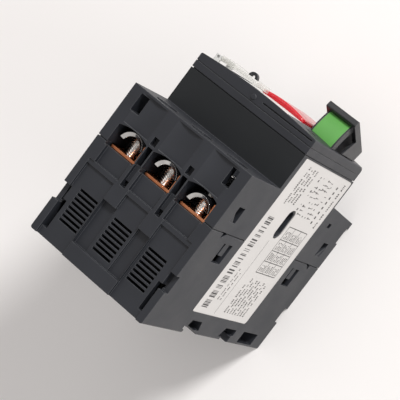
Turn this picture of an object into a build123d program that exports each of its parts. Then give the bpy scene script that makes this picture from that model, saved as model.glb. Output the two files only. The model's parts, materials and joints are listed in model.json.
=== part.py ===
from build123d import *
import math
import os

# Three-pole motor protection breaker, 45 mm wide, for a 35 mm rail.
# Row frame: +Z up along the height, the front faces -Y, the rating label is on the -X side.
# Depths are measured forward from the rear face and turned into Y by y_at().

# ---- driving dimensions, millimetres ----
WIDTH = 44.5
HEIGHT = 89.0
OVERALL_DEPTH = 77.5            # rear face to the top of the start button
TERMINAL_DEPTH = 50.0           # rear face to the terminal ledges
LOWER_LEDGE_RISE = 2.0          # the lower ledge slopes up to the nose by this much
SEAM_DEPTH = 32.5               # joint between the two housing halves
FRAME_SEAM = 62.0               # joint between the front housing and the front frame
FACE_DEPTH = 66.7               # front face at its two sides
CROWN = 1.2                     # how far the front face swells at the middle
NOSE_LOW = 22.3
NOSE_HIGH = 67.3
PLATE_X = (-9.7, 20.7)          # the pale front plate, beside the start button's dark surround
PLATE_SINK = 0.25               # how far the plate lies behind the rim
SIDE_WALL = 1.8
END_WALL = 3.4
REAR_WALL = 7.0
POLE_PITCH = 13.5
POLES = (POLE_PITCH, 0.0, -POLE_PITCH)
ENDS = {"upper": 1, "lower": -1}

HALF = WIDTH / 2
INNER = HALF - SIDE_WALL

# Rail seat: 35 mm rail with 1 mm flanges
RAIL_LOW = 26.5
RAIL_HIGH = 61.5
RAIL_SEAT = 2.3
RAIL_HOOK = 1.2
RAIL_MIDDLE = 0.6
RAIL_CATCH = 1.2                # how far the lip and the latch each reach over a flange
RAIL_RELIEF = 0.2
FLANGE_ROOM = 7.0               # from the seat's lower edge to the raised middle

# Terminals
MOUTH_HALF = 5.4
MOUTH_SIDE = 38.2
MOUTH_CROWN = 39.3
CHAMBER = 12.4
PLATE_FRONT = 32.3
PLATE_THICK = 0.8
PLATE_HALF = 4.7
SCREW_INSET = 6.5
SCREW_R = 1.95
HEAD_R = 3.4
HEAD_REAR = 44.6
HEAD_FRONT = 47.4
HEAD_SEAT = 41.2
ACCESS_R = 3.7
SADDLE_TOP = 38.4
SADDLE_DROP = 3.0
SADDLE_THICK = 1.1
SADDLE_HALF = 3.65

# Panels and vents of the terminal faces
PANELS = {POLE_PITCH: (9.2, 20.0), 0.0: (-4.4, 4.4), -POLE_PITCH: (-20.0, -9.2)}
RIB_DEPTH = (24.3, 25.7)
SLOT_HALF = 0.95
VENT_COUNT = 8
VENT_FIRST = 7.0
VENT_PITCH = 1.43
VENT_WIDTH = 0.8
VENT_HALF = 3.45

# Start button
PIVOT_DEPTH = 64.5
PIVOT_Z = 29.9
ROCKER_R = 19.1
FLANK_THICK = 1.5
START_X = -15.8
START_HALF = 3.9
RIM_HALF = 4.45
RIM_WIDTH = 1.1
SKIRT_THICK = 0.8
CORE_HALF = 3.1
CAP_HALF = 5.55
CAP_THICK = 2.1
CAP_ROUND = 0.5
PIN_R = 0.97

# Stop button
STOP_X = (-8.0, 8.5)
STOP_Z = (27.5, 48.5)
STOP_SHOULDER = 68.5            # front of the button at its two sides
STOP_TOP = 69.4                 # front of the button at its middle
STOP_FOOT = 64.0

# Setting dial and its cover
DIAL_X = 10.5
DIAL_Z = 59.0
DIAL_R = 4.6
COVER_X = (3.8, 17.2)
COVER_Z = (53.2, 64.8)
COVER_HINGE_X = 18.6
COVER_HINGE_DEPTH = 68.5
COVER_REAR = 68.15
COVER_WALL = 0.9

# Label
LABEL_DEPTH = (7.5, 61.2)
LABEL_Z = (23.0, 64.7)
LABEL_THICK = 0.3
LABEL_POCKET = 0.35
LABEL_WINDOW_DEPTH = (36.0, 46.0)
LABEL_WINDOW_Z = (44.9, 49.9)
LABEL_WINDOW_ROUND = 2.2
SEAM_GROOVE = (0.35, 0.5)       # width and depth of the groove along a joint

# Contacts
TIP_R = 1.5
FIXED_DEPTH = 12.4
TIP_THICK = 0.8
BRIDGE_REAR = 16.2
UPPER_CONTACT_Z = 61.0
LOWER_CONTACT_Z = 48.0
CROSSBAR_Z = (UPPER_CONTACT_Z + LOWER_CONTACT_Z) / 2
COIL_DEPTH = 24.0

os.makedirs("parts", exist_ok=True)


def y_at(depth):
    return OVERALL_DEPTH / 2 - depth


def z_at(end, inset):
    return HEIGHT - inset if end > 0 else inset


def crown_at(x):
    return FACE_DEPTH + CROWN * (1 - (x / HALF) ** 2)


def block(x, depth, z, mode=Mode.ADD):
    """A box between two x values, two depths and two heights."""
    middle = (sum(x) / 2, y_at(sum(depth) / 2), sum(z) / 2)
    with Locations(middle):
        Box(abs(x[1] - x[0]), abs(depth[1] - depth[0]), abs(z[1] - z[0]), mode=mode)


def end_block(end, x, depth, inset, mode=Mode.ADD):
    """A box whose height is given inwards from one terminal face."""
    block(x, depth, (z_at(end, inset[0]), z_at(end, inset[1])), mode)


def rod_y(x, z, depth, radius, mode=Mode.ADD):
    with Locations(Location((x, y_at(sum(depth) / 2), z), (90, 0, 0))):
        Cylinder(radius, abs(depth[1] - depth[0]), mode=mode)


def rod_x(x, depth, z, radius, mode=Mode.ADD):
    with Locations(Location((sum(x) / 2, y_at(depth), z), (0, 90, 0))):
        Cylinder(radius, abs(x[1] - x[0]), mode=mode)


def rod_z(x, depth, z, radius, mode=Mode.ADD):
    with Locations((x, y_at(depth), sum(z) / 2)):
        Cylinder(radius, abs(z[1] - z[0]), mode=mode)


def rounded_side_slot(x, depth, z, radius, mode=Mode.SUBTRACT):
    """A slot with round corners, cut through a side wall between two x values."""
    with BuildSketch(Plane.YZ.offset(min(x))) as outline:
        with Locations((y_at(sum(depth) / 2), sum(z) / 2)):
            RectangleRounded(abs(depth[1] - depth[0]), abs(z[1] - z[0]), radius)
    extrude(outline.sketch, amount=abs(x[1] - x[0]), mode=mode)


def ring_groove(depth, z):
    """A groove all round the housing, along the joint that ends at this depth."""
    width, inset = SEAM_GROOVE
    span = (depth - width, depth)
    for side in (-1, 1):
        block((side * (HALF - inset), side * (HALF + 1)), span, z, Mode.SUBTRACT)
    block((-HALF, HALF), span, (z[0], z[0] + inset), Mode.SUBTRACT)
    block((-HALF, HALF), span, (z[1] - inset, z[1]), Mode.SUBTRACT)


def side_profile(points, x, mode=Mode.ADD):
    """An outline of (depth, z) points, drawn from x[0] to x[1]."""
    with BuildSketch(Plane.YZ.offset(min(x))) as outline:
        with BuildLine():
            Polyline([(y_at(depth), z) for depth, z in points], close=True)
        make_face()
    extrude(outline.sketch, amount=abs(x[1] - x[0]), mode=mode)


def crowned_slab(x, rear, front_offset, z, mode=Mode.ADD):
    """A slab whose front follows the crowned face, set back from it by front_offset."""
    left, right = x
    middle = (left + right) / 2
    with BuildSketch(Plane.XY.offset(min(z))) as outline:
        with BuildLine():
            corner_left = (left, y_at(crown_at(left) - front_offset))
            corner_right = (right, y_at(crown_at(right) - front_offset))
            ThreePointArc(corner_left, (middle, y_at(crown_at(middle) - front_offset)), corner_right)
            Polyline([corner_right, (right, y_at(rear)), (left, y_at(rear)), corner_left])
        make_face()
    extrude(outline.sketch, amount=abs(z[1] - z[0]), mode=mode)


def crowned_sheet(x, front_offset, thickness, z):
    """A sheet of even thickness that follows the crowned face."""
    left, right = x
    middle = (left + right) / 2
    ends = []
    for offset in (front_offset, front_offset + thickness):
        ends.append([(at, y_at(crown_at(at) - offset)) for at in (left, middle, right)])
    with BuildSketch(Plane.XY.offset(min(z))) as outline:
        with BuildLine():
            ThreePointArc(*ends[0])
            Line(ends[0][2], ends[1][2])
            ThreePointArc(*ends[1])
            Line(ends[1][0], ends[0][0])
        make_face()
    extrude(outline.sketch, amount=abs(z[1] - z[0]))


def finish(piece, label):
    piece.part.label = label
    export_step(piece.part, f"parts/{label}.step")


def coil_spring(label, start, direction, radius, wire, length, turns):
    """A round-wire compression spring that begins at start and runs along direction."""
    with BuildPart() as spring:
        with BuildLine() as path:
            Helix(length / turns, length, radius, center=start, direction=direction)
        with BuildSketch(Plane(origin=path.line @ 0, z_dir=path.line % 0)):
            Circle(wire)
        sweep()
    finish(spring, label)


# ---- housing halves ----

def terminal_face_rear(end):
    """Panels, pads, vents and grooves of one terminal face, on the rear half."""
    cut = Mode.SUBTRACT
    for pole, panel in PANELS.items():
        end_block(end, panel, (0, RIB_DEPTH[0]), (0, 1.0), cut)
        end_block(end, panel, RIB_DEPTH, (0, 0.35), cut)
        end_block(end, (pole - PLATE_HALF, pole + PLATE_HALF), (RIB_DEPTH[1], 31.9), (0, 1.5), cut)
        for slot in range(VENT_COUNT):
            depth = VENT_FIRST + slot * VENT_PITCH
            vent_span = (depth - VENT_WIDTH / 2, depth + VENT_WIDTH / 2)
            end_block(end, (pole - VENT_HALF, pole + VENT_HALF), vent_span, (0, 5), cut)
        seat = (pole - MOUTH_HALF, pole + MOUTH_HALF)
        end_block(end, seat, (PLATE_FRONT - PLATE_THICK - 0.1, SEAM_DEPTH), (0, 5), cut)
    for side in (-1, 1):
        middle = side * POLE_PITCH / 2
        end_block(end, (middle - 2.4, middle + 2.4), (4.7, 19.4), (0, 1.8), cut)
        end_block(end, (middle - SLOT_HALF, middle + SLOT_HALF), (25.2, 27.2), (0, 3.0), cut)
        end_block(end, (middle - SLOT_HALF, middle + SLOT_HALF), (27.2, SEAM_DEPTH), (0, 1.5), cut)
        end_block(end, (side * 18.3, side * 20.0), (2.5, 12.0), (0, 4.2), cut)
        end_block(end, (side * 19.6, side * 23), (10.6, 16.2), (0, 2.2), cut)
        end_block(end, (side * 19.6, side * 20.8), (11.2, 15.8), (0, 3.0), cut)
    end_block(end, (-7.6, 7.6), (0, 4.7), (0, 1.2))


def side_pockets_rear(side, end):
    """Snap window, seam arrow and rear slots of one side wall, on the rear half."""
    cut = Mode.SUBTRACT
    through = (side * (INNER - 1), side * (HALF + 1))
    skin = (side * (HALF - 1.2), side * (HALF + 1))
    end_block(end, through, (23.2, 29.6), (13.2, 19.3), cut)
    arrow = [(30.4, 8.0), (SEAM_DEPTH + 0.1, 8.0), (SEAM_DEPTH + 0.1, 11.5)]
    side_profile([(depth, z_at(end, inset)) for depth, inset in arrow], skin, cut)
    end_block(end, (side * (HALF - 1.3), side * (HALF - 0.3)), (25.6, 29.7), (15.0, 17.7))


with BuildPart() as rear_housing:
    block((-HALF, HALF), (0, SEAM_DEPTH), (0, HEIGHT))
    fillet(rear_housing.edges().filter_by(Axis.Z).group_by(Axis.Y)[-1], 0.7)
    block((-INNER, INNER), (REAR_WALL, SEAM_DEPTH), (END_WALL, HEIGHT - END_WALL), Mode.SUBTRACT)
    for rib_side in (-1, 1):
        rib_x = rib_side * POLE_PITCH / 2
        for rib_z in ((END_WALL, 34.0), (64.0, HEIGHT - END_WALL)):
            block((rib_x - 0.6, rib_x + 0.6), (REAR_WALL, 31.0), rib_z)
    for face in ENDS.values():
        terminal_face_rear(face)
        for wall in (-1, 1):
            side_pockets_rear(wall, face)
    # Rail seat: the upper flange hooks behind a fixed lip, the middle enters the rail's hollow.
    rail = [
        (-1, RAIL_HIGH),
        (RAIL_HOOK, RAIL_HIGH),
        (RAIL_HOOK, RAIL_HIGH + RAIL_CATCH),
        (RAIL_SEAT + RAIL_RELIEF, RAIL_HIGH + RAIL_CATCH),
        (RAIL_SEAT + RAIL_RELIEF, RAIL_HIGH),
        (RAIL_SEAT, RAIL_HIGH),
        (RAIL_SEAT, RAIL_HIGH - 5.0),
        (RAIL_MIDDLE, RAIL_HIGH - 9.5),
        (RAIL_MIDDLE, RAIL_LOW + FLANGE_ROOM),
        (RAIL_SEAT, RAIL_LOW + FLANGE_ROOM),
        (RAIL_SEAT, RAIL_LOW),
        (-1, RAIL_LOW),
    ]
    side_profile(rail, (-HALF - 1, HALF + 1), Mode.SUBTRACT)
    # Latch channel, wide inside and narrow at the rear face.
    block((-7.7, 7.7), (-1, 2.6), (-1, RAIL_LOW + 2.6), Mode.SUBTRACT)
    block((-9.4, 9.4), (2.2, 4.2), (-1, RAIL_LOW + 2.6), Mode.SUBTRACT)
    block((-1.7, 1.7), (4.0, 6.2), (9.0, 22.5), Mode.SUBTRACT)
    for wall in (-1, 1):
        wall_skin = (wall * (HALF - 4.5), wall * (HALF + 1))
        upper_slant = [(1.6, 61.2), (4.8, 60.0), (4.8, 53.0), (1.8, 51.5)]
        side_profile(upper_slant, wall_skin, Mode.SUBTRACT)
        side_profile([(1.3, 36.0), (4.8, 34.0), (4.8, 25.5), (2.6, 25.5)], wall_skin, Mode.SUBTRACT)
        block(wall_skin, (0.9, 5.0), (7.5, 19.5), Mode.SUBTRACT)
    ring_groove(SEAM_DEPTH, (0, HEIGHT))
    block((-HALF - 1, -HALF + LABEL_POCKET), (LABEL_DEPTH[0], SEAM_DEPTH), LABEL_Z, Mode.SUBTRACT)
finish(rear_housing, "rear_housing")


def terminal_face_front(end):
    """Mouths, screw holes, panels and slots of one terminal face, on the front half."""
    cut = Mode.SUBTRACT
    for pole in POLES:
        left = pole - MOUTH_HALF
        right = pole + MOUTH_HALF
        with BuildSketch(Plane.XY.offset(z_at(end, CHAMBER) if end > 0 else -1)) as mouth:
            with BuildLine():
                ThreePointArc((left, y_at(MOUTH_SIDE)), (pole, y_at(MOUTH_CROWN)), (right, y_at(MOUTH_SIDE)))
                Polyline(
                    [
                        (right, y_at(MOUTH_SIDE)),
                        (right, y_at(SEAM_DEPTH - 1)),
                        (left, y_at(SEAM_DEPTH - 1)),
                        (left, y_at(MOUTH_SIDE)),
                    ]
                )
            make_face()
        extrude(mouth.sketch, amount=CHAMBER + 1, mode=cut)
        screw_z = z_at(end, SCREW_INSET)
        rod_y(pole, screw_z, (MOUTH_SIDE - 1, TERMINAL_DEPTH), SCREW_R + 0.35, cut)
        rod_y(pole, screw_z, (HEAD_SEAT, TERMINAL_DEPTH + 3), ACCESS_R, cut)
        end_block(end, (pole - 5.2, pole + 5.2), (SEAM_DEPTH, 46.0), (14.2, 20.4), cut)
        with Locations(Location((pole, y_at(44.4), z_at(end, -11.8)), (90, 0, 0))):
            Cylinder(12.7, 9.9, mode=cut)
    for side in (-1, 1):
        end_block(end, (side * 16.0, side * 18.8), (43.2, 48.7), (0, 7.5), cut)
        middle = side * POLE_PITCH / 2
        end_block(end, (middle - SLOT_HALF, middle + SLOT_HALF), (SEAM_DEPTH, 38.4), (0, 6.0), cut)
        end_block(end, (middle - SLOT_HALF, middle + SLOT_HALF), (39.1, 41.7), (0, 2.0), cut)


def side_pockets_front(side, end):
    """Snap window of one side wall, on the front half, with its slanted catch."""
    skin = (side * (HALF - 2.6), side * (HALF + 1))
    end_block(end, skin, (35.8, 40.8), (6.2, 10.4), Mode.SUBTRACT)
    catch = [(35.8, z_at(end, 6.2)), (39.2, z_at(end, 6.2)), (35.8, z_at(end, 9.2))]
    side_profile(catch, (side * (HALF - 2.6), side * (HALF - 0.2)))


with BuildPart() as front_housing:
    block((-HALF, HALF), (SEAM_DEPTH, TERMINAL_DEPTH), (0, HEIGHT))
    ledge = [
        (TERMINAL_DEPTH, 0),
        (TERMINAL_DEPTH + LOWER_LEDGE_RISE, NOSE_LOW),
        (TERMINAL_DEPTH, NOSE_LOW),
    ]
    side_profile(ledge, (-HALF, HALF))
    block((-HALF, HALF), (TERMINAL_DEPTH, FRAME_SEAM), (NOSE_LOW, NOSE_HIGH))
    nose_cavity = (NOSE_LOW + SIDE_WALL, NOSE_HIGH - SIDE_WALL)
    block((-INNER, INNER), (SEAM_DEPTH, FRAME_SEAM), nose_cavity, Mode.SUBTRACT)
    for face in ENDS.values():
        terminal_face_front(face)
        for wall in (-1, 1):
            side_pockets_front(wall, face)
    ring_groove(FRAME_SEAM, (NOSE_LOW, NOSE_HIGH))
    block((-HALF - 1, -HALF + LABEL_POCKET), (SEAM_DEPTH, LABEL_DEPTH[1]), LABEL_Z, Mode.SUBTRACT)
    rounded_side_slot((-HALF - 1, -INNER + 1), (36.6, 45.4), (45.4, 49.4), 1.9)
    block((-HALF - 1, -HALF + 1.2), (45.4, 47.0), (14.8, 17.3), Mode.SUBTRACT)
    block((-HALF - 1, -16.0), (42.0, 47.7), (-1, 1.5), Mode.SUBTRACT)
finish(front_housing, "front_housing")


# ---- front frame, plate and label ----

STOP_GAP = 0.4
stop_window_x = (STOP_X[0] - STOP_GAP, STOP_X[1] + STOP_GAP)
stop_window_z = (STOP_Z[0] - STOP_GAP, STOP_Z[1] + STOP_GAP)
start_window_x = (START_X - RIM_HALF - 0.3, START_X + RIM_HALF + 0.3)
start_window_z = (PIVOT_Z - 2.8, PIVOT_Z + ROCKER_R + 0.35)
skirt_window_x = (START_X - CAP_HALF - 0.35, START_X + CAP_HALF + 0.35)
skirt_window_z = (31.1, 44.6)


def front_windows():
    """Openings for the two buttons, the dial and the test button."""
    through = (FRAME_SEAM - 1, FACE_DEPTH + CROWN + 1)
    block(start_window_x, through, start_window_z, Mode.SUBTRACT)
    block(skirt_window_x, through, skirt_window_z, Mode.SUBTRACT)
    block(stop_window_x, through, stop_window_z, Mode.SUBTRACT)
    rod_y(DIAL_X, DIAL_Z, through, DIAL_R + 0.3, Mode.SUBTRACT)
    rod_y(START_X, 58.0, through, 1.9, Mode.SUBTRACT)


with BuildPart() as front_frame:
    crowned_slab((-HALF, HALF), FRAME_SEAM, 0, (NOSE_LOW, NOSE_HIGH))
    lower_front_edge = front_frame.faces().sort_by(Axis.Y)[0].edges().sort_by(Axis.Z)[0]
    fillet(lower_front_edge, 1.5)
    fillet(front_frame.edges().filter_by(Axis.Z).group_by(Axis.Y)[0], 0.6)
    # A shallow line round the sides, where the frame steps out to its rim.
    for side in (-1, 1):
        block((side * (HALF - 0.2), side * (HALF + 1)), (64.1, 64.35), (NOSE_LOW, NOSE_HIGH), Mode.SUBTRACT)
    block((-HALF, HALF), (64.1, 64.35), (NOSE_HIGH - 0.2, NOSE_HIGH), Mode.SUBTRACT)
    block((-INNER + 0.4, INNER - 0.4), (FRAME_SEAM, 65.2), (NOSE_LOW + 1.4, NOSE_HIGH - 1.4), Mode.SUBTRACT)
    recess_z = (NOSE_LOW + 1.3, NOSE_HIGH - 1.3)
    crowned_slab((PLATE_X[0] - 0.2, PLATE_X[1] + 0.2), FACE_DEPTH - 1.05, -1, recess_z, Mode.SUBTRACT)
    crowned_slab((PLATE_X[0] - 0.2, PLATE_X[1] + 0.2), 64.8, 1.1, recess_z)
    front_windows()
    # Lugs that hold the start button's pin.
    for lug_x in ((-21.6, -20.25), (-11.35, -10.1)):
        block(lug_x, (62.3, 65.4), (PIVOT_Z - 1.7, PIVOT_Z + 1.7))
    rod_x((-21.7, -10.0), PIVOT_DEPTH, PIVOT_Z, PIN_R + 0.03, Mode.SUBTRACT)
    # Accessory slot and locating pip along the upper edge.
    block((-21.3, -2.6), (65.7, 66.1), (NOSE_HIGH - 0.9, NOSE_HIGH + 1), Mode.SUBTRACT)
    rod_z(0.8, 65.7, (NOSE_HIGH - 0.2, NOSE_HIGH + 0.4), 0.75)
finish(front_frame, "front_frame")

with BuildPart() as front_plate:
    crowned_sheet(PLATE_X, PLATE_SINK, 0.65, (NOSE_LOW + 1.5, NOSE_HIGH - 1.5))
    front_windows()
    # Ears that carry the cover's hinge pin.
    for ear_z in ((COVER_Z[0] + 0.2, COVER_Z[0] + 1.6), (COVER_Z[1] - 1.6, COVER_Z[1] - 0.2)):
        block((COVER_HINGE_X - 0.9, COVER_HINGE_X + 0.9), (66.4, COVER_HINGE_DEPTH + 0.7), ear_z)
    rod_z(COVER_HINGE_X, COVER_HINGE_DEPTH, COVER_Z, 0.43, Mode.SUBTRACT)
finish(front_plate, "front_plate")

with BuildPart() as side_label:
    block((-HALF + LABEL_POCKET - LABEL_THICK, -HALF + LABEL_POCKET), LABEL_DEPTH, LABEL_Z)
    fillet(side_label.edges().filter_by(Axis.X), 1.0)
    rounded_side_slot((-HALF - 1, 0), LABEL_WINDOW_DEPTH, LABEL_WINDOW_Z, LABEL_WINDOW_ROUND)
finish(side_label, "side_label")


# ---- start button ----

pivot_y = y_at(PIVOT_DEPTH)
cap_tip = (OVERALL_DEPTH + CAP_ROUND * 0.3, PIVOT_Z + 16.9)
cap_slope = math.radians(22.7)
cap_length = 18.2
along = (-math.sin(cap_slope), -math.cos(cap_slope))
down = (-math.cos(cap_slope), math.sin(cap_slope))


def cap_point(distance, drop):
    """A point under the cap's top face: distance from its raised tip, drop below the face."""
    depth = cap_tip[0] + along[0] * distance + down[0] * drop
    return (depth, cap_tip[1] + along[1] * distance + down[1] * drop)


rim_end = (PIVOT_DEPTH - 7.6, PIVOT_Z + 21.0)
skirt = [cap_point(cap_length, 0.9), cap_point(9.6, 0.9), (67.0, PIVOT_Z + 12.3), (67.0, PIVOT_Z + 1.5)]

with BuildPart() as start_button_cap:
    plate = [cap_point(*at) for at in ((0, 0), (cap_length, 0), (cap_length, CAP_THICK), (0, CAP_THICK))]
    side_profile(plate, (START_X - CAP_HALF, START_X + CAP_HALF))
    fillet(start_button_cap.edges().filter_by(Axis.X), CAP_ROUND)
    with BuildSketch(Plane.YZ.offset(START_X - START_HALF)) as body:
        with Locations((pivot_y, PIVOT_Z)):
            Circle(ROCKER_R - FLANK_THICK - 0.05)
        with BuildLine():
            reach = cap_point(-3, CAP_THICK - 0.4)
            heel = cap_point(cap_length, CAP_THICK - 0.4)
            corners = [reach, heel, (PIVOT_DEPTH, PIVOT_Z), (PIVOT_DEPTH - 7.2, PIVOT_Z + 18.6)]
            Polyline([(y_at(depth), z) for depth, z in corners], close=True)
        make_face(mode=Mode.INTERSECT)
    extrude(body.sketch, amount=2 * START_HALF)
    # Both sides of the body are hollowed inside a curved rim, which hides the flank's edge.
    for cheek in (-1, 1):
        with BuildSketch(Plane.YZ.offset(START_X + cheek * START_HALF)) as hollow:
            with Locations((pivot_y, PIVOT_Z)):
                Circle(ROCKER_R - FLANK_THICK - RIM_WIDTH)
                Circle(3.2, mode=Mode.SUBTRACT)
        extrude(hollow.sketch, amount=-cheek * (START_HALF - CORE_HALF), mode=Mode.SUBTRACT)
        with BuildSketch(Plane.YZ.offset(START_X + cheek * (START_HALF + 0.02))) as rim:
            with Locations((pivot_y, PIVOT_Z)):
                Circle(ROCKER_R)
                Circle(ROCKER_R - FLANK_THICK - RIM_WIDTH, mode=Mode.SUBTRACT)
            with BuildLine():
                Polyline([(y_at(depth), z) for depth, z in corners[:3] + [rim_end]], close=True)
            make_face(mode=Mode.INTERSECT)
        extrude(rim.sketch, amount=cheek * (RIM_HALF - START_HALF - 0.02))
    rod_x((START_X - START_HALF, START_X + START_HALF), PIVOT_DEPTH, PIVOT_Z, 2.3)
    rod_x((START_X - CAP_HALF, START_X + CAP_HALF), PIVOT_DEPTH, PIVOT_Z, PIN_R + 0.06, Mode.SUBTRACT)
    # Skirts that close the two sides of the heel.
    for cheek in (-1, 1):
        side_profile(skirt, (START_X + cheek * (CAP_HALF - SKIRT_THICK), START_X + cheek * CAP_HALF))
finish(start_button_cap, "start_button_cap")

with BuildPart() as start_button_flank:
    with BuildSketch(Plane.YZ.offset(START_X - START_HALF)) as shell:
        with Locations((pivot_y, PIVOT_Z)):
            Circle(ROCKER_R)
            Circle(ROCKER_R - FLANK_THICK, mode=Mode.SUBTRACT)
        with BuildLine():
            reach = cap_point(-4, CAP_THICK + 0.05)
            heel = cap_point(cap_length, CAP_THICK + 0.05)
            corners = [reach, heel, (PIVOT_DEPTH, PIVOT_Z), rim_end]
            Polyline([(y_at(depth), z) for depth, z in corners], close=True)
        make_face(mode=Mode.INTERSECT)
    extrude(shell.sketch, amount=2 * START_HALF)
finish(start_button_flank, "start_button_flank")

with BuildPart() as start_pivot_pin:
    rod_x((-21.5, -10.2), PIVOT_DEPTH, PIVOT_Z, PIN_R)
finish(start_pivot_pin, "start_pivot_pin")

coil_spring("start_return_spring", (START_X, y_at(47.6), PIVOT_Z + 9.5), (0, -1, 0), 1.6, 0.28, 11.0, 6)


# ---- stop button ----

with BuildPart() as stop_button:
    stop_middle = (sum(STOP_X) / 2, sum(STOP_Z) / 2)
    with BuildSketch(Plane.XY.offset(STOP_Z[0])):
        with BuildLine():
            shoulders = [(at, y_at(STOP_SHOULDER)) for at in STOP_X]
            ThreePointArc(shoulders[0], (stop_middle[0], y_at(STOP_TOP)), shoulders[1])
            foot_y = y_at(STOP_FOOT)
            Polyline([shoulders[1], (STOP_X[1], foot_y), (STOP_X[0], foot_y), shoulders[0]])
        make_face()
    extrude(amount=STOP_Z[1] - STOP_Z[0])
    fillet(stop_button.edges().filter_by(Axis.Y), 1.4)
    fillet(stop_button.faces().sort_by(Axis.Y)[0].edges(), 0.8)
    collar_x = (STOP_X[0] - 0.9, STOP_X[1] + 0.9)
    collar_z = (STOP_Z[0] - 0.9, STOP_Z[1] + 0.9)
    block(collar_x, (STOP_FOOT - 0.6, STOP_FOOT + 0.7), collar_z)
    block((STOP_X[0] + 2, STOP_X[1] - 2), (62.8, 67.4), (STOP_Z[0] + 2, STOP_Z[1] - 2), Mode.SUBTRACT)
    rod_y(stop_middle[0], stop_middle[1], (58.0, 67.8), 1.2)
finish(stop_button, "stop_button")

coil_spring("stop_return_spring", (stop_middle[0], y_at(52.4), stop_middle[1]), (0, -1, 0), 2.3, 0.3, 14.6, 7)


# ---- setting dial, cover, seal lug, test button ----

with BuildPart() as setting_dial:
    rod_y(DIAL_X, DIAL_Z, (59.5, 67.2), DIAL_R)
    chamfer(setting_dial.faces().sort_by(Axis.Y)[0].edges(), 0.4)
    block((DIAL_X - 3.4, DIAL_X + 3.4), (66.0, 68), (DIAL_Z - 0.6, DIAL_Z + 0.6), Mode.SUBTRACT)
    rod_y(DIAL_X, DIAL_Z, (54.2, 59.5), 1.8)
finish(setting_dial, "setting_dial")

with BuildPart() as sealing_cover:
    block(COVER_X, (COVER_REAR, 69.7), COVER_Z)
    fillet(sealing_cover.edges().filter_by(Axis.Y).group_by(Axis.X)[0], 1.2)
    hollow_x = (COVER_X[0] + COVER_WALL, COVER_X[1] - COVER_WALL)
    hollow_z = (COVER_Z[0] + COVER_WALL, COVER_Z[1] - COVER_WALL)
    block(hollow_x, (COVER_REAR - 0.15, 68.9), hollow_z, Mode.SUBTRACT)
    knuckle = (COVER_Z[0] + 1.95, COVER_Z[1] - 1.95)
    block((COVER_X[1] - 0.5, COVER_HINGE_X), (COVER_REAR, 69.2), knuckle)
    rod_z(COVER_HINGE_X, COVER_HINGE_DEPTH, knuckle, 0.8)
    rod_z(COVER_HINGE_X, COVER_HINGE_DEPTH, knuckle, 0.46, Mode.SUBTRACT)
finish(sealing_cover, "sealing_cover")

with BuildPart() as cover_hinge_pin:
    rod_z(COVER_HINGE_X, COVER_HINGE_DEPTH, (COVER_Z[0] + 0.3, COVER_Z[1] - 0.3), 0.4)
finish(cover_hinge_pin, "cover_hinge_pin")

with BuildPart() as seal_lug:
    with BuildSketch(Plane.XY.offset(62.4)):
        with Locations((6.4, y_at(69.7))):
            Circle(1.6)
            Circle(0.75, mode=Mode.SUBTRACT)
            Rectangle(3.2, 1.6, align=(Align.CENTER, Align.MIN), mode=Mode.SUBTRACT)
    extrude(amount=1.3)
finish(seal_lug, "seal_lug")

with BuildPart() as test_button:
    rod_y(START_X, 58.0, (60.0, 66.9), 1.6)
    rod_y(START_X, 58.0, (62.4, 63.4), 2.4)
finish(test_button, "test_button")


# ---- terminals ----

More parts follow.
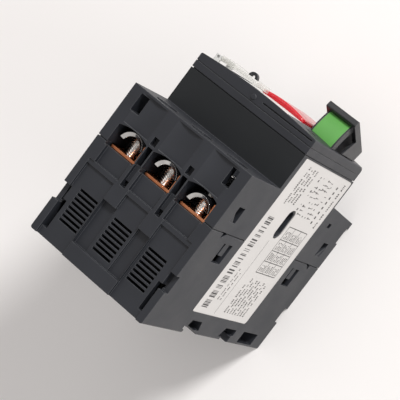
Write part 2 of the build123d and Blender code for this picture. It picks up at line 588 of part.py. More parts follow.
def terminal_set(end_name, number):
    """Copper plate, clamp saddle and screw of one terminal."""
    end = ENDS[end_name]
    pole = POLES[number - 1]
    screw_z = z_at(end, SCREW_INSET)
    lowered = 1.3 if (end_name, number) == ("upper", 3) else 0.0

    with BuildPart() as clamp_plate:
        deep = 25.0 if end > 0 else 19.5
        rear = PLATE_FRONT - PLATE_THICK
        end_block(end, (pole - PLATE_HALF, pole + PLATE_HALF), (rear, PLATE_FRONT), (2.6, 12.0))
        end_block(end, (pole - 3.0, pole + 3.0), (rear, PLATE_FRONT), (12.0, deep))
        end_block(end, (pole - PLATE_HALF, pole - PLATE_HALF + 0.7), (rear, 37.4), (2.6, 12.0))
        end_block(end, (pole - 3.0, pole + 3.0), (12.0, PLATE_FRONT), (deep - 0.8, deep))
        foot = (deep - 0.8, HEIGHT - UPPER_CONTACT_Z + 2.0) if end > 0 else (deep, 11.0)
        end_block(end, (pole - 3.0, pole + 3.0), (FIXED_DEPTH - 0.8, FIXED_DEPTH), foot)
        if end > 0:
            rod_y(pole, UPPER_CONTACT_Z, (FIXED_DEPTH, FIXED_DEPTH + TIP_THICK), TIP_R)
        rod_y(pole, screw_z, (rear - 1, PLATE_FRONT + 1), SCREW_R + 0.08, Mode.SUBTRACT)
    finish(clamp_plate, f"{end_name}_terminal_plate_{number}")

    top = SADDLE_TOP - lowered
    with BuildPart() as saddle:
        foot_y = y_at(top - SADDLE_DROP)
        outer_feet = [(pole - SADDLE_HALF, foot_y), (pole + SADDLE_HALF, foot_y)]
        inner_feet = [(pole - SADDLE_HALF + 1.2, foot_y), (pole + SADDLE_HALF - 1.2, foot_y)]
        with BuildSketch(Plane.XY.offset(min(z_at(end, 3.0), z_at(end, 10.0)))) as arch:
            with BuildLine():
                ThreePointArc(outer_feet[0], (pole, y_at(top)), outer_feet[1])
                Line(outer_feet[1], inner_feet[1])
                ThreePointArc(inner_feet[1], (pole, y_at(top - SADDLE_THICK)), inner_feet[0])
                Line(inner_feet[0], outer_feet[0])
            make_face()
        extrude(arch.sketch, amount=7.0)
        rod_y(pole, screw_z, (top - 4, top + 2), SCREW_R + 0.08, Mode.SUBTRACT)
    finish(saddle, f"{end_name}_clamp_saddle_{number}")

    with BuildPart() as screw:
        rod_y(pole, screw_z, (HEAD_REAR - lowered, HEAD_FRONT - lowered), HEAD_R)
        chamfer(screw.faces().sort_by(Axis.Y)[0].edges(), 0.5)
        rod_y(pole, screw_z, (29.4 - lowered, HEAD_REAR - lowered), SCREW_R)
        head_top = HEAD_FRONT - lowered
        for slot_x, slot_z in ((2.6, 0.45), (0.45, 2.6)):
            slot_span = (screw_z - slot_z, screw_z + slot_z)
            block((pole - slot_x, pole + slot_x), (head_top - 1.6, head_top + 1), slot_span, Mode.SUBTRACT)
    finish(screw, f"{end_name}_terminal_screw_{number}")


for end_label in ENDS:
    for pole_number in (1, 2, 3):
        terminal_set(end_label, pole_number)


# ---- contacts, arc chutes, magnetic and thermal trips, one set per pole ----

def pole_set(number):
    pole = POLES[number - 1]

    with BuildPart() as bridge:
        bridge_z = (LOWER_CONTACT_Z - 2, UPPER_CONTACT_Z + 2)
        block((pole - 2.4, pole + 2.4), (BRIDGE_REAR, BRIDGE_REAR + 1), bridge_z)
        for tip_z in (LOWER_CONTACT_Z, UPPER_CONTACT_Z):
            rod_y(pole, tip_z, (BRIDGE_REAR - TIP_THICK, BRIDGE_REAR), TIP_R)
    finish(bridge, f"contact_bridge_{number}")

    with BuildPart() as chute:
        for fin in range(7):
            fin_depth = 9.2 + fin * 1.43
            block((pole - 4.4, pole + 4.4), (fin_depth - 0.4, fin_depth + 0.4), (67.0, 84.6))
            notch = (67.0, 71.0)
            block((pole - 1.6, pole + 1.6), (fin_depth - 0.5, fin_depth + 0.5), notch, Mode.SUBTRACT)
        for cheek in (-1, 1):
            cheek_x = (pole + cheek * 4.4, pole + cheek * 5.2)
            block(cheek_x, (8.4, 18.6), (67.0, 84.6))
    finish(chute, f"arc_chute_{number}")

    with BuildPart() as coil:
        rod_z(pole, COIL_DEPTH, (24.0, 35.6), 3.0)
        for turn in range(6):
            middle = 25.3 + turn * 1.8
            rod_z(pole, COIL_DEPTH, (middle - 0.75, middle + 0.75), 4.9)
        rod_z(pole, COIL_DEPTH, (23.0, 37.0), 2.5, Mode.SUBTRACT)
    finish(coil, f"magnetic_coil_{number}")

    with BuildPart() as plunger:
        rod_z(pole, COIL_DEPTH, (26.0, 38.4), 2.2)
    finish(plunger, f"trip_plunger_{number}")

    with BuildPart() as bimetal:
        block((pole - 2.4, pole + 2.4), (10.2, FIXED_DEPTH - 0.8), (11.2, 39.0))
    finish(bimetal, f"bimetal_strip_{number}")


for pole_number in (1, 2, 3):
    pole_set(pole_number)

# Three separate bars in one node: each carries a pole's current from its lower contact to its coil.
with BuildPart() as lower_contact_bars:
    for pole_x in POLES:
        bar_x = (pole_x - 3.0, pole_x + 3.0)
        block(bar_x, (FIXED_DEPTH - 0.8, FIXED_DEPTH), (42.6, LOWER_CONTACT_Z + 2.0))
        block(bar_x, (FIXED_DEPTH - 0.8, 21.0), (42.6, 43.4))
        rod_y(pole_x, LOWER_CONTACT_Z, (FIXED_DEPTH, FIXED_DEPTH + TIP_THICK), TIP_R)
finish(lower_contact_bars, "lower_contact_bars")

# Three separate steel yokes in one node.
with BuildPart() as coil_yokes:
    for pole_x in POLES:
        yoke_x = (pole_x - 4.6, pole_x + 4.6)
        block(yoke_x, (17.2, 29.6), (36.2, 37.2))
        block(yoke_x, (17.2, 29.6), (22.2, 23.2))
        block(yoke_x, (17.2, 18.2), (22.2, 37.2))
        rod_z(pole_x, COIL_DEPTH, (36.0, 38.0), 2.6, Mode.SUBTRACT)
finish(coil_yokes, "coil_yokes")

# Three separate springs in one node, between the carrier and the bridges.
with BuildPart() as contact_springs:
    for pole_x in POLES:
        spring_base = (pole_x, y_at(BRIDGE_REAR + 1.35), CROSSBAR_Z)
        with BuildLine() as wire_path:
            Helix(1.0, 4.1, 1.7, center=spring_base, direction=(0, -1, 0))
        with BuildSketch(Plane(origin=wire_path.line @ 0, z_dir=wire_path.line % 0)) as wire_section:
            Circle(0.25)
        sweep(wire_section.sketch, path=wire_path.line)
finish(contact_springs, "contact_springs")

with BuildPart() as contact_carrier:
    block((-19.4, 19.4), (22.0, 26.0), (CROSSBAR_Z - 3.0, CROSSBAR_Z + 3.0))
    for pole_x in POLES:
        for arm in (-1, 1):
            arm_x = (pole_x + arm * 2.8, pole_x + arm * 3.8)
            block(arm_x, (15.6, 22.0), (CROSSBAR_Z - 2.0, CROSSBAR_Z + 2.0))
    block((-19.0, -16.6), (26.0, 44.0), (CROSSBAR_Z - 2.0, CROSSBAR_Z + 2.0))
finish(contact_carrier, "contact_carrier")

TRIP_DEPTH = 14.5
TRIP_Z = 40.6
with BuildPart() as trip_bar:
    rod_x((-19.8, 19.8), TRIP_DEPTH, TRIP_Z, 1.1)
    for pole_x in POLES:
        block((pole_x - 1.6, pole_x + 1.6), (12.4, 13.5), (35.6, TRIP_Z + 0.6))
        block((pole_x - 1.0, pole_x + 1.0), (14.5, 25.4), (40.2, 41.0))
    block((5.9, 7.6), (14.5, 34.0), (40.1, 41.4))
finish(trip_bar, "trip_bar")

LATCH_DEPTH = 46.0
LATCH_Z = 50.6
with BuildPart() as mechanism_frame:
    for cheek_x in ((1.4, 2.4), (11.6, 12.6)):
        block(cheek_x, (36.0, 52.0), (34.0, 56.0))
    block((-2.8, 12.6), (51.0, 52.0), (34.0, 56.0))
    block((1.4, 12.6), (36.0, 45.0), (54.2, 55.2))
    rod_y(stop_middle[0], stop_middle[1], (50.0, 53.0), 1.6, Mode.SUBTRACT)
    rod_x((1.0, 13.0), LATCH_DEPTH, LATCH_Z, 1.03, Mode.SUBTRACT)
finish(mechanism_frame, "mechanism_frame")

with BuildPart() as latch_pin:
    rod_x((1.0, 13.0), LATCH_DEPTH, LATCH_Z, 1.0)
finish(latch_pin, "latch_pin")

with BuildPart() as latch_lever:
    rod_x((5.2, 8.6), LATCH_DEPTH, LATCH_Z, 2.3)
    block((5.2, 8.6), (LATCH_DEPTH - 1.0, LATCH_DEPTH + 1.0), (43.9, LATCH_Z))
    block((5.2, 8.6), (33.0, LATCH_DEPTH + 1.0), (43.9, 45.2))
    rod_x((5.0, 9.0), LATCH_DEPTH, LATCH_Z, 1.06, Mode.SUBTRACT)
finish(latch_lever, "latch_lever")

coil_spring("latch_return_spring", (6.9, y_at(40.5), 45.5), (0, 0, 1), 1.2, 0.22, 8.4, 6)


# ---- rail latch ----

with BuildPart() as rail_latch:
    block((-7.4, 7.4), (0.3, 3.9), (3.4, 24.4))
    block((-9.1, 9.1), (2.6, 3.9), (3.4, 24.4))
    block((-6.4, 6.4), (0.3, 1.1), (24.0, RAIL_LOW + 2 * RAIL_CATCH))
    block((-2.4, 2.4), (-1, 2.4), (5.6, 7.2), Mode.SUBTRACT)
    block((-1.5, 1.5), (3.0, 4.4), (11.0, 21.8), Mode.SUBTRACT)
finish(rail_latch, "rail_latch")

coil_spring("rail_latch_spring", (0, y_at(4.7), 11.3), (0, 0, 1), 1.0, 0.22, 9.8, 8)
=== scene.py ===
import json
import math
import random

import bmesh
import bpy
from mathutils import Matrix, Vector


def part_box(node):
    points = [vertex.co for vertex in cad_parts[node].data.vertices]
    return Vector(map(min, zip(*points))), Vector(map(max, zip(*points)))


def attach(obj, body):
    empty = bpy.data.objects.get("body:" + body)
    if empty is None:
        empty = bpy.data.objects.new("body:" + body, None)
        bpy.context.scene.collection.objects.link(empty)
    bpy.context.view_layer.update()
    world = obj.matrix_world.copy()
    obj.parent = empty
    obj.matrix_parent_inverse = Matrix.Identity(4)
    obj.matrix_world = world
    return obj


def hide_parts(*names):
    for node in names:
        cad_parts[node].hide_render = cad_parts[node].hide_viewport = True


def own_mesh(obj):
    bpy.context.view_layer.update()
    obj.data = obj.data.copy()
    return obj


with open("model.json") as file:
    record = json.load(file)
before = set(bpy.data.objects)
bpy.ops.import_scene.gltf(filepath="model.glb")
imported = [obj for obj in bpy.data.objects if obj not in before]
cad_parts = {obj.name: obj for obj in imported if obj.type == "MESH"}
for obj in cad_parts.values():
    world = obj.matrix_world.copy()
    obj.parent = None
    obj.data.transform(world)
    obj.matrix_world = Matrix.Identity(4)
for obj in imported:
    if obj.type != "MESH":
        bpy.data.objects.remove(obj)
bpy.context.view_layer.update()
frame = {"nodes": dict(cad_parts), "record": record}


def corners(bounds):
    """A bounding box as plain lists of numbers."""
    return [[float(value) for value in corner] for corner in bounds]


MM = 0.001
NODES = frame["nodes"]
REAR_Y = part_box("rear_housing")[1].y


def y_at(depth):
    """Y of a plane that lies so many millimetres in front of the rear face."""
    return REAR_Y - depth * MM


# ---- camera, floor and light ----

CAMERA_AIM = Vector((5.0, 8.1, 44.5)) * MM
CAMERA_TOWARDS = Vector((0.3954, 0.1117, -0.9117)).normalized()
CAMERA_DISTANCE = 500.4 * MM
CAMERA_UP = Vector((0.585, -0.796, 0.156))
LENS = 151.7


def make_camera():
    """A steep view onto the upper terminal face and the label side."""
    back = -CAMERA_TOWARDS
    right = CAMERA_UP.cross(back).normalized()
    up = back.cross(right)
    data = bpy.data.cameras.new("camera")
    data.lens = LENS
    data.clip_start = 0.01
    camera = bpy.data.objects.new("camera", data)
    camera.matrix_world = Matrix.Translation(CAMERA_AIM + back * CAMERA_DISTANCE) @ Matrix(
        (right, up, back)
    ).transposed().to_4x4()
    bpy.context.scene.collection.objects.link(camera)
    bpy.context.scene.camera = camera


def area_light(name, place, aim, size, power, color=(1, 1, 1)):
    """A round soft light that faces its aim."""
    data = bpy.data.lights.new(name, "AREA")
    data.shape = "DISK"
    data.size = size
    data.energy = power
    data.color = color
    light = bpy.data.objects.new(name, data)
    light.location = place
    light.rotation_euler = (Vector(aim) - Vector(place)).to_track_quat("-Z", "Y").to_euler()
    bpy.context.scene.collection.objects.link(light)
    return light


def node_tree(material):
    material.use_nodes = True
    tree = material.node_tree
    return tree.nodes, tree.links, tree.nodes["Principled BSDF"]


def make_floor():
    """A plain pale floor, with a very faint mottle so that it isn't one flat colour."""
    bpy.ops.mesh.primitive_plane_add(size=6.0, location=(0, 0, -0.00005))
    floor = bpy.context.object
    floor.name = "floor"
    material = bpy.data.materials.new("floor_paper")
    nodes, links, shader = node_tree(material)
    noise = nodes.new("ShaderNodeTexNoise")
    noise.inputs["Scale"].default_value = 6.0
    ramp = nodes.new("ShaderNodeValToRGB")
    ramp.color_ramp.elements[0].color = (0.86, 0.845, 0.835, 1)
    ramp.color_ramp.elements[1].color = (0.88, 0.865, 0.855, 1)
    links.new(noise.outputs["Fac"], ramp.inputs["Fac"])
    links.new(ramp.outputs["Color"], shader.inputs["Base Color"])
    shader.inputs["Roughness"].default_value = 0.8
    floor.data.materials.append(material)


def make_light():
    world = bpy.data.worlds.new("studio")
    bpy.context.scene.world = world
    world.use_nodes = True
    background = world.node_tree.nodes["Background"]
    background.inputs["Color"].default_value = (1.0, 0.965, 0.95, 1)
    background.inputs["Strength"].default_value = 0.56
    area_light("key", (-0.55, -1.25, 1.05), (0, 0, 0.03), 0.4, 26.0, (1.0, 0.985, 0.975))
    area_light("side", (-1.5, -0.2, 0.7), (0, 0, 0.03), 0.8, 4.6)
    # A card that only shows in reflections, so that the plated pieces in the terminals shine.
    card = area_light("card", (0.45, -0.75, 1.0), (0, 0, 0.09), 0.5, 1.3)
    card.visible_diffuse = False
    bpy.context.scene.view_settings.view_transform = "Standard"


make_camera()
make_floor()
make_light()


# ---- materials ----

def noise_texture(nodes, links, vector, scale, detail=3.0, roughness=0.5):
    noise = nodes.new("ShaderNodeTexNoise")
    noise.inputs["Scale"].default_value = scale
    noise.inputs["Detail"].default_value = detail
    noise.inputs["Roughness"].default_value = roughness
    links.new(vector, noise.inputs["Vector"])
    return noise.outputs["Fac"]


def math_node(nodes, links, operation, first, second=None, clamp=False):
    node = nodes.new("ShaderNodeMath")
    node.operation = operation
    node.use_clamp = clamp
    for socket, value in zip(node.inputs, (first, second)):
        if value is None:
            continue
        if isinstance(value, (int, float)):
            socket.default_value = value
        else:
            links.new(value, socket)
    return node.outputs[0]


def map_range(nodes, links, value, low, high, new_low, new_high):
    node = nodes.new("ShaderNodeMapRange")
    node.inputs["From Min"].default_value = low
    node.inputs["From Max"].default_value = high
    node.inputs["To Min"].default_value = new_low
    node.inputs["To Max"].default_value = new_high
    links.new(value, node.inputs["Value"])
    return node.outputs["Result"]


def mix_color(nodes, links, factor, first, second):
    node = nodes.new("ShaderNodeMix")
    node.data_type = "RGBA"
    if isinstance(factor, (int, float)):
        node.inputs["Factor"].default_value = factor
    else:
        links.new(factor, node.inputs["Factor"])
    for socket, value in ((node.inputs["A"], first), (node.inputs["B"], second)):
        if isinstance(value, tuple):
            socket.default_value = (*value, 1)
        else:
            links.new(value, socket)
    return node.outputs["Result"]


def edge_mask(nodes, links, radius):
    """1 along the piece's edges and 0 on its flats, and the rounded normal that goes with it."""
    bevel = nodes.new("ShaderNodeBevel")
    bevel.samples = 6
    bevel.inputs["Radius"].default_value = radius
    geometry = nodes.new("ShaderNodeNewGeometry")
    dot = nodes.new("ShaderNodeVectorMath")
    dot.operation = "DOT_PRODUCT"
    links.new(bevel.outputs["Normal"], dot.inputs[0])
    links.new(geometry.outputs["Normal"], dot.inputs[1])
    mask = map_range(nodes, links, dot.outputs["Value"], 1.0, 0.8, 0.0, 1.0)
    return mask, bevel.outputs["Normal"]


# Painted dark reflection: this darker bluish colour on the nose's upward faces stands in for a glossy face
# reflecting dark surroundings.
NOSE_PAINTED_REFLECTION = (0.0022, 0.0038, 0.0055)
NOSE_REFLECTION_START = 50.2
NOSE_REFLECTION_TOP = 70 * MM


def nose_reflection_mask(nodes, links, place):
    """1 on the nose's upward faces, between the terminal ledge and the front frame: where the painted dark
    reflection goes.
    """
    split = nodes.new("ShaderNodeSeparateXYZ")
    links.new(place, split.inputs[0])
    in_front = math_node(nodes, links, "LESS_THAN", split.outputs["Y"], y_at(NOSE_REFLECTION_START))
    geometry = nodes.new("ShaderNodeNewGeometry")
    turn = nodes.new("ShaderNodeSeparateXYZ")
    links.new(geometry.outputs["Normal"], turn.inputs[0])
    faces_up = math_node(nodes, links, "GREATER_THAN", turn.outputs["Z"], 0.7)
    low = math_node(nodes, links, "LESS_THAN", split.outputs["Z"], NOSE_REFLECTION_TOP)
    both = math_node(nodes, links, "MULTIPLY", in_front, faces_up)
    return math_node(nodes, links, "MULTIPLY", both, low)


def moulded_plastic(
    name, base, edge_wear_and_highlight, rough, grain_scale=5200, grain=0.00002, radius=0.00022, patch=0.12, painted_nose_reflection=False
):
    """Injection-moulded plastic: fine spark grain, faint patches, a separate edge colour (partly rubbed
    wear, partly painted edge highlight), and on request a painted dark reflection on the nose.
    """
    material = bpy.data.materials.new(name)
    nodes, links, shader = node_tree(material)
    place = nodes.new("ShaderNodeTexCoord").outputs["Object"]
    grain_noise = noise_texture(nodes, links, place, grain_scale, 2.0, 0.6)
    patches = noise_texture(nodes, links, place, 90, 4.0, 0.55)
    edges, rounded = edge_mask(nodes, links, radius)
    darker = tuple(channel * (1 - patch) for channel in base)
    lighter = tuple(min(1.0, channel * (1 + patch)) for channel in base)
    tone = mix_color(nodes, links, map_range(nodes, links, patches, 0.3, 0.7, 0.0, 1.0), darker, lighter)
    speckled = mix_color(
        nodes, links, map_range(nodes, links, grain_noise, 0.35, 0.75, 0.0, 0.35), tone, lighter
    )
    # Edge colour mixed in along the edges: partly rubbed wear, partly painted edge highlight.
    colour = mix_color(nodes, links, math_node(nodes, links, "MULTIPLY", edges, 0.55), speckled, edge_wear_and_highlight)
    # Painted dark reflection on the nose's upward faces.
    if painted_nose_reflection:
        nose = nose_reflection_mask(nodes, links, place)
        colour = mix_color(nodes, links, nose, colour, NOSE_PAINTED_REFLECTION)
    links.new(colour, shader.inputs["Base Color"])
    links.new(
        map_range(nodes, links, patches, 0.3, 0.7, rough - 0.05, rough + 0.06), shader.inputs["Roughness"]
    )
    bump = nodes.new("ShaderNodeBump")
    bump.inputs["Strength"].default_value = 0.55
    bump.inputs["Distance"].default_value = grain
    links.new(grain_noise, bump.inputs["Height"])
    links.new(rounded, bump.inputs["Normal"])
    links.new(bump.outputs["Normal"], shader.inputs["Normal"])
    return material


def metal(name, base, tint, rough, scratch_axis, radius=0.00012, scratch=0.00001):
    """Metal with fine drawn scratches along one axis, uneven tone and bright edges."""
    material = bpy.data.materials.new(name)
    nodes, links, shader = node_tree(material)
    place = nodes.new("ShaderNodeTexCoord").outputs["Object"]
    stretch = nodes.new("ShaderNodeMapping")
    scale = [1.0, 1.0, 1.0]
    scale[scratch_axis] = 0.06
    stretch.inputs["Scale"].default_value = scale
    links.new(place, stretch.inputs["Vector"])
    scratches = noise_texture(nodes, links, stretch.outputs["Vector"], 5000, 2.0, 0.7)
    patches = noise_texture(nodes, links, place, 260, 3.0)
    edges, rounded = edge_mask(nodes, links, radius)
    tone = mix_color(nodes, links, map_range(nodes, links, patches, 0.35, 0.65, 0.0, 1.0), base, tint)
    links.new(tone, shader.inputs["Base Color"])
    shader.inputs["Metallic"].default_value = 1.0
    links.new(
        map_range(nodes, links, scratches, 0.3, 0.7, rough - 0.04, rough + 0.1), shader.inputs["Roughness"]
    )
    bump = nodes.new("ShaderNodeBump")
    bump.inputs["Strength"].default_value = 0.4
    bump.inputs["Distance"].default_value = scratch
    links.new(scratches, bump.inputs["Height"])
    links.new(rounded, bump.inputs["Normal"])
    links.new(bump.outputs["Normal"], shader.inputs["Normal"])
    return material


def clear_plastic(name):
    """Thin clear polycarbonate: see-through, with a slight haze and fine handling marks."""
    material = bpy.data.materials.new(name)
    nodes, links, shader = node_tree(material)
    place = nodes.new("ShaderNodeTexCoord").outputs["Object"]
    haze = noise_texture(nodes, links, place, 700, 4.0)
    edges, rounded = edge_mask(nodes, links, 0.00025)
    links.new(
        mix_color(nodes, links, haze, (0.62, 0.62, 0.58), (0.74, 0.74, 0.70)), shader.inputs["Base Color"]
    )
    links.new(map_range(nodes, links, haze, 0.3, 0.7, 0.08, 0.2), shader.inputs["Roughness"])
    body = map_range(nodes, links, haze, 0.3, 0.7, 0.22, 0.3)
    links.new(math_node(nodes, links, "ADD", body, edges, clamp=True), shader.inputs["Alpha"])
    links.new(rounded, shader.inputs["Normal"])
    return material


def make_materials():
    # Edge colour of the dark plastics, much lighter than their body: partly rubbed wear, partly painted
    # edge highlight.
    dark_edge_wear_and_highlight = (0.12, 0.124, 0.132)
    return {
        "housing": moulded_plastic(
            "housing_plastic", (0.0148, 0.0168, 0.0222), dark_edge_wear_and_highlight, 0.52, painted_nose_reflection=True
        ),
        "frame": moulded_plastic("frame_plastic", (0.0145, 0.0163, 0.0215), dark_edge_wear_and_highlight, 0.5),
        "face_plate": moulded_plastic(
            "face_plate_plastic", (0.60, 0.60, 0.585), (0.7, 0.7, 0.69), 0.42, patch=0.04
        ),
        "label": moulded_plastic(
            "label_film", (0.60, 0.585, 0.57), (0.5, 0.49, 0.47), 0.45, 9000, patch=0.03
        ),
        "black_button": moulded_plastic("black_plastic", (0.013, 0.014, 0.016), (0.07, 0.07, 0.08), 0.36),
        "green_button": moulded_plastic(
            "green_plastic", (0.085, 0.30, 0.055), (0.2, 0.5, 0.16), 0.4, patch=0.07
        ),
        "red_button": moulded_plastic(
            "red_plastic", (0.46, 0.010, 0.018), (0.70, 0.07, 0.07), 0.16, grain=0.000004, patch=0.06
        ),
        "dial": moulded_plastic("dial_plastic", (0.42, 0.42, 0.41), (0.6, 0.6, 0.6), 0.4, patch=0.05),
        "test_button": moulded_plastic(
            "test_plastic", (0.72, 0.50, 0.04), (0.85, 0.65, 0.2), 0.4, patch=0.05
        ),
        "latch_plastic": moulded_plastic("latch_plastic", (0.018, 0.018, 0.020), (0.08, 0.08, 0.09), 0.42),
        "inner_plastic": moulded_plastic("inner_plastic", (0.022, 0.020, 0.019), (0.06, 0.056, 0.05), 0.5),
        "copper": metal("copper_strip", (0.72, 0.30, 0.15), (0.55, 0.20, 0.09), 0.24, 0),
        "bimetal": metal("bimetal_strip", (0.62, 0.55, 0.42), (0.5, 0.45, 0.36), 0.34, 2),
        "chrome": metal("bright_plating", (0.93, 0.92, 0.90), (0.66, 0.65, 0.63), 0.10, 1),
        "steel": metal("plated_steel", (0.48, 0.48, 0.47), (0.38, 0.38, 0.37), 0.32, 2),
        "spring_steel": metal("spring_wire", (0.5, 0.5, 0.5), (0.4, 0.4, 0.41), 0.28, 1),
        "clear_cover": clear_plastic("clear_polycarbonate"),
    }


MATERIALS = make_materials()
PRINT = moulded_plastic("label_print", (0.030, 0.028, 0.027), (0.05, 0.05, 0.05), 0.5, 9000, 0.000003)
PALE_PRINT = moulded_plastic("pale_print", (0.055, 0.052, 0.05), (0.09, 0.085, 0.08), 0.5, 9000, 0.000003)
SOOTED = metal("sooted_steel", (0.05, 0.048, 0.046), (0.02, 0.02, 0.02), 0.5, 2)

for subpart in frame["record"]["subparts"]:
    mesh = NODES[subpart["node"]].data
    mesh.materials.clear()
    sooted = subpart["node"].startswith("arc_chute")
    mesh.materials.append(SOOTED if sooted else MATERIALS[subpart["material_slot"]])


# ---- printed label ----

LABEL_LOW, LABEL_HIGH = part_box("side_label")
LABEL_SKIN = LABEL_LOW.x - 0.00001
INK = 0.00001


class Print:
    """Flat printed marks on the label: each is a thin bar between two depths and two heights."""

    def __init__(self, name, material, slot):
        self.name = name
        self.material = material
        self.slot = slot
        self.mesh = bmesh.new()

    def bar(self, depths, heights):
        y_low, y_high = sorted(y_at(depth) for depth in depths)
        z_low, z_high = (height * MM for height in sorted(heights))
        y_low, y_high = max(y_low, LABEL_LOW.y + 0.0003), min(y_high, LABEL_HIGH.y - 0.0003)
        made = bmesh.ops.create_cube(self.mesh, size=1.0)["verts"]
        bmesh.ops.scale(self.mesh, vec=(INK, y_high - y_low, z_high - z_low), verts=made)
        middle = Vector((LABEL_SKIN, (y_low + y_high) / 2, (z_low + z_high) / 2))
        bmesh.ops.translate(self.mesh, vec=middle, verts=made)

    def text_line(self, depths, height, size, dice):
        """A line of greeked marks: short upright strokes in word-like groups that spell nothing."""
        low, high = sorted(depths)
        at = low
        while at < high:
            for _ in range(dice.randint(2, 7)):
                stroke = size * dice.uniform(0.22, 0.5)
                if at + stroke > high:
                    break
                drop = size * dice.choice((0.0, 0.0, 0.28))
                self.bar((at, at + stroke), (height - size / 2, height + size / 2 - drop))
                at += stroke + size * 0.22
            at += size * 0.7

    def finish(self):
        mesh = bpy.data.meshes.new(self.name)
        self.mesh.to_mesh(mesh)
        self.mesh.free()
        piece = bpy.data.objects.new(self.name, mesh)
        bpy.context.scene.collection.objects.link(piece)
        mesh.materials.append(self.material)
        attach(piece, "housing")


def print_label():
    """Generic rating label: bar strip, rule, table, and greeked lines. It carries no readable text."""
    dice = random.Random(7)
    dark = Print("label_print_dark", PRINT, "label")
    pale = Print("label_print_pale", PALE_PRINT, "label")

    at = 9.6
    while at < 42.0:
        wide = dice.choice((0.16, 0.16, 0.32, 0.5))
        dark.bar((at, at + wide), (57.2, 61.3))
        at += wide + dice.choice((0.2, 0.24, 0.45, 0.9))
    pale.bar((8.4, 35.0), (49.6, 49.75))
    for row, reach in ((54.4, 24.0), (52.4, 23.0)):
        pale.text_line((13.0, reach), row, 0.75, dice)

    rows = [42.8 - 5.2 * step for step in range(4)]
    for row in rows:
        dark.bar((24.5, 41.2), (row, row + 0.24))
    columns = (24.5, 28.6, 32.4, 36.4, 41.0)
    for column in columns:
        dark.bar((column, column + 0.24), (rows[-1], rows[0]))
    for row in rows[1:]:
        for column in columns[:-1]:
            for line in (1.3, 2.6, 3.9):
                pale.text_line((column + 0.7, column + 3.3), row + line, 0.75, dice)

    for step in range(8):
        pale.text_line((9.6, 22.8 - dice.uniform(0, 3)), 43.6 - step * 2.1, 0.95, dice)
    for step in range(4):
        pale.text_line((48.0 - dice.uniform(0, 1.5), 59.5), 58.2 - step * 2.2, 1.0, dice)
    # Circuit-like block: scattered nodes and short leads, laid out at random.
    for step in range(6):
        for column in range(9):
            node_at = 45.2 + column * 1.6 + dice.uniform(-0.3, 0.3)
            height = 46.4 - step * 2.3
            size = dice.uniform(0.35, 0.8)
            if dice.random() < 0.75 and node_at + size < 59.8:
                dark.bar((node_at, node_at + size), (height, height + size))
            if dice.random() < 0.5:
                pale.bar((node_at + 0.2, node_at + 0.4), (height - 1.6, height))
    for step in range(8):
        dark.bar((44.5 + step * 1.8, 45.4 + step * 1.8), (30.0, 31.0))
    dark.text_line((43.5, 59.8), 26.4, 1.1, dice)
    dark.finish()
    pale.finish()


print_label()


# ---- terminal screws and clamp saddles ----

THREAD_PITCH = 0.7 * MM
THREAD_DEPTH = 0.42 * MM
ROUND = 40
WIRE_SIDES = 12
HEAD_THICK = 2.8 * MM
HEAD_ROUND = 0.9 * MM
SHANK_RADIUS = 1.95 * MM
SADDLE_THICK = 1.3 * MM
SADDLE_SKIN = 0.1 * MM
SADDLE_HOLE = 2.05 * MM
SADDLE_ROLL = 0.6 * MM
SADDLE_RIB = 0.10 * MM
CLOSED_SHARE = 0.12
CLOSED_RISE = 0.35


def mesh_piece(name, mesh, material, body, smooth_angle=0.6):
    """A finished bmesh as an object that moves with a body."""
    bmesh.ops.recalc_face_normals(mesh, faces=mesh.faces)
    data = bpy.data.meshes.new(name)
    mesh.to_mesh(data)
    mesh.free()
    data.materials.append(material)
    data.shade_smooth()
    data.set_sharp_from_angle(angle=smooth_angle)
    piece = bpy.data.objects.new(name, data)
    bpy.context.scene.collection.objects.link(piece)
    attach(piece, body)
    return piece


def ring_stack(mesh, middle_x, middle_z, stations):
    """A closed solid turned about a line along Y: each station is a y value and a radius by angle."""
    rings = []
    for y, radius_of in stations:
        ring = []
        for step in range(ROUND):
            angle = 2 * math.pi * step / ROUND
            radius = radius_of(angle)
            place = (middle_x + radius * math.cos(angle), y, middle_z + radius * math.sin(angle))
            ring.append(mesh.verts.new(place))
        rings.append(ring)
    for near, far in zip(rings, rings[1:]):
        for step in range(ROUND):
            after = (step + 1) % ROUND
            mesh.faces.new((near[step], near[after], far[after], far[step]))
    mesh.faces.new(rings[0])
    mesh.faces.new(rings[-1])


def screw_stations(low, high):
    """Screw from its tip to the top of its head, with a right-hand thread on the shank."""
    tip_y = high.y
    head_y = low.y
    head_radius = (high.x - low.x) / 2
    under_head = head_y + HEAD_THICK
    stations = [(tip_y, lambda angle: SHANK_RADIUS * 0.62)]
    steps = round((tip_y - under_head - 0.5 * MM) / THREAD_PITCH * 10)
    for step in range(steps + 1):
        y = tip_y - 0.3 * MM - step * THREAD_PITCH / 10

        def thread(angle, y=y):
            phase = (y / THREAD_PITCH - angle / (2 * math.pi)) % 1.0
            crest = 1 - abs(2 * phase - 1)
            return SHANK_RADIUS - THREAD_DEPTH * (1 - min(1.0, crest * 1.25))

        stations.append((y, thread))
    stations.append((under_head, lambda angle: SHANK_RADIUS - THREAD_DEPTH))
    stations.append((under_head, lambda angle: head_radius - 0.15 * MM))
    stations.append((under_head - 0.15 * MM, lambda angle: head_radius))
    for step in range(6):
        turn = math.pi / 2 * step / 5
        drop = HEAD_ROUND * (1 - math.sin(turn))
        rim = head_radius - HEAD_ROUND * (1 - math.cos(turn))
        stations.append((head_y + drop, lambda angle, rim=rim: rim))
    return stations


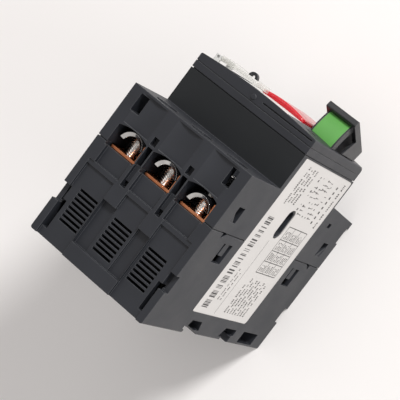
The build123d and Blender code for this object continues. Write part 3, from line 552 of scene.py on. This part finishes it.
def cut_cross(piece, low, high):
    """Cuts a cross recess with one long slot into the screw's head."""
    cutter_mesh = bmesh.new()
    middle_x = (low.x + high.x) / 2
    middle_z = (low.z + high.z) / 2
    for wide, tall in ((5.6, 0.9), (0.9, 4.0)):
        made = bmesh.ops.create_cube(cutter_mesh, size=1.0)["verts"]
        bmesh.ops.scale(cutter_mesh, vec=(wide * MM, 3.0 * MM, tall * MM), verts=made)
        bmesh.ops.translate(cutter_mesh, vec=(middle_x, low.y, middle_z), verts=made)
    data = bpy.data.meshes.new("cross_cutter")
    cutter_mesh.to_mesh(data)
    cutter_mesh.free()
    cutter = bpy.data.objects.new("cross_cutter", data)
    bpy.context.scene.collection.objects.link(cutter)
    cut = piece.modifiers.new("cross", "BOOLEAN")
    cut.operation = "DIFFERENCE"
    cut.solver = "EXACT"
    cut.use_self = True
    cut.object = cutter
    bpy.context.view_layer.update()
    result = bpy.data.meshes.new_from_object(piece.evaluated_get(bpy.context.evaluated_depsgraph_get()))
    piece.modifiers.remove(cut)
    piece.data = result
    bpy.data.objects.remove(cutter)


def make_screw(node, body):
    """Terminal screw with a threaded shank and a crossed slot in its domed head."""
    low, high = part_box(node)
    mesh = bmesh.new()
    ring_stack(mesh, (low.x + high.x) / 2, (low.z + high.z) / 2, screw_stations(low, high))
    piece = mesh_piece(f"{node}_threaded", mesh, MATERIALS["chrome"], body)
    cut_cross(piece, low, high)
    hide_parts(node)


def make_saddle(node, screw_node, body):
    """Stamped clamp saddle: an arched plate with rolled edges, a raised rib each side and a screw hole."""
    low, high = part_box(node)
    screw_low, screw_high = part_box(screw_node)
    middle_x = (low.x + high.x) / 2
    hole_z = (screw_low.z + screw_high.z) / 2
    half = (high.x - low.x) / 2
    rise = high.y - low.y
    radius = (half * half + rise * rise) / (2 * rise)
    reach = math.asin(half / radius)
    across = 28
    length = 20
    mesh = bmesh.new()
    grid = []
    for row in range(length + 1):
        share = row / length
        line = []
        for column in range(across + 1):
            angle = -reach + 2 * reach * column / across
            edge = max(0.0, 1 - min(share, 1 - share) * length / 4)
            rib = SADDLE_RIB * max(0.0, 1 - abs(min(share, 1 - share) - 0.16) / 0.05)
            outer = radius - SADDLE_ROLL * edge * edge + rib - SADDLE_SKIN
            x = middle_x + outer * math.sin(angle)
            y = low.y + radius - outer * math.cos(angle)
            z = low.z + (high.z - low.z) * share
            x, z = round_hole(x, z, middle_x, hole_z, SADDLE_HOLE)
            line.append(mesh.verts.new((x, y, z)))
        grid.append(line)
    for near, far in zip(grid, grid[1:]):
        for column in range(across):
            corners = (near[column], near[column + 1], far[column + 1], far[column])
            centre = sum((corner.co for corner in corners), Vector()) / 4
            if math.hypot(centre.x - middle_x, centre.z - hole_z) > SADDLE_HOLE:
                mesh.faces.new(corners)
    loose = [vert for vert in mesh.verts if not vert.link_faces]
    bmesh.ops.delete(mesh, geom=loose, context="VERTS")
    sheet = mesh.faces[:]
    bmesh.ops.solidify(mesh, geom=sheet, thickness=-SADDLE_THICK)
    piece = mesh_piece(f"{node}_stamped", mesh, MATERIALS["chrome"], body, 0.9)
    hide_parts(node)


def round_hole(x, z, middle_x, middle_z, hole):
    """Moves a point that lies just about on the hole's edge onto it."""
    distance = math.hypot(x - middle_x, z - middle_z)
    if 0.82 * hole < distance < 1.14 * hole:
        share = hole / distance
        return middle_x + (x - middle_x) * share, middle_z + (z - middle_z) * share
    return x, z


for end in ("upper", "lower"):
    for number in (1, 2, 3):
        make_screw(f"{end}_terminal_screw_{number}", f"{end}_screw_{number}")
        make_saddle(
            f"{end}_clamp_saddle_{number}", f"{end}_terminal_screw_{number}", f"{end}_clamp_{number}"
        )


# ---- springs ----

def make_spring(node, axis, fixed_high, wire, turns, joint, travel):
    """Round-wire compression spring with closed end coils."""
    low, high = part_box(node)
    middle = (low + high) / 2
    across = (axis + 1) % 3, (axis + 2) % 3
    coil = min((high - low)[side] for side in across) / 2 - wire
    first = low[axis] + wire
    length = high[axis] - low[axis] - 2 * wire
    steps = int(turns * 28)
    mesh = bmesh.new()
    rings = []
    for step in range(steps + 1):
        share = step / steps
        # The end coils lie close together, and the ones between are evenly open.
        # The end coils lie close together, and the ones between are evenly open.
        if share < CLOSED_SHARE:
            risen = CLOSED_RISE * share
        elif share > 1 - CLOSED_SHARE:
            risen = 1 - CLOSED_RISE * (1 - share)
        else:
            open_pitch = (1 - 2 * CLOSED_RISE * CLOSED_SHARE) / (1 - 2 * CLOSED_SHARE)
            risen = CLOSED_RISE * CLOSED_SHARE + (share - CLOSED_SHARE) * open_pitch
        angle = 2 * math.pi * turns * share
        centre = Vector(middle)
        centre[axis] = first + length * risen
        outward = Vector((0, 0, 0))
        outward[across[0]] = math.cos(angle)
        outward[across[1]] = math.sin(angle)
        along = Vector((0, 0, 0))
        along[axis] = 1
        ring = []
        for corner in range(WIRE_SIDES):
            turn = 2 * math.pi * corner / WIRE_SIDES
            offset = outward * (coil + wire * math.cos(turn)) + along * wire * math.sin(turn)
            ring.append(mesh.verts.new(centre + offset))
        rings.append(ring)
    for near, far in zip(rings, rings[1:]):
        for corner in range(WIRE_SIDES):
            after = (corner + 1) % WIRE_SIDES
            mesh.faces.new((near[corner], near[after], far[after], far[corner]))
    mesh.faces.new(rings[0])
    mesh.faces.new(rings[-1])
    piece = mesh_piece(f"{node}_wound", mesh, MATERIALS["spring_steel"], "housing", 0.9)
    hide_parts(node)
    anchor = Vector(middle)
    anchor[axis] = high[axis] if fixed_high else low[axis]
    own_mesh(piece)


# Node, axis of the coil, whether its high end is the fixed one, wire radius, turns, joint, shortening.
for spring in (
    ("start_return_spring", 1, True, 0.28 * MM, 7, "start_press", 4.4 * MM),
    ("stop_return_spring", 1, True, 0.30 * MM, 8, "stop_press", 2.0 * MM),
    ("latch_return_spring", 2, True, 0.22 * MM, 7, "latch_turn", 1.2 * MM),
    ("rail_latch_spring", 2, False, 0.22 * MM, 9, "rail_latch_slide", 2.6 * MM),
):
    make_spring(*spring)
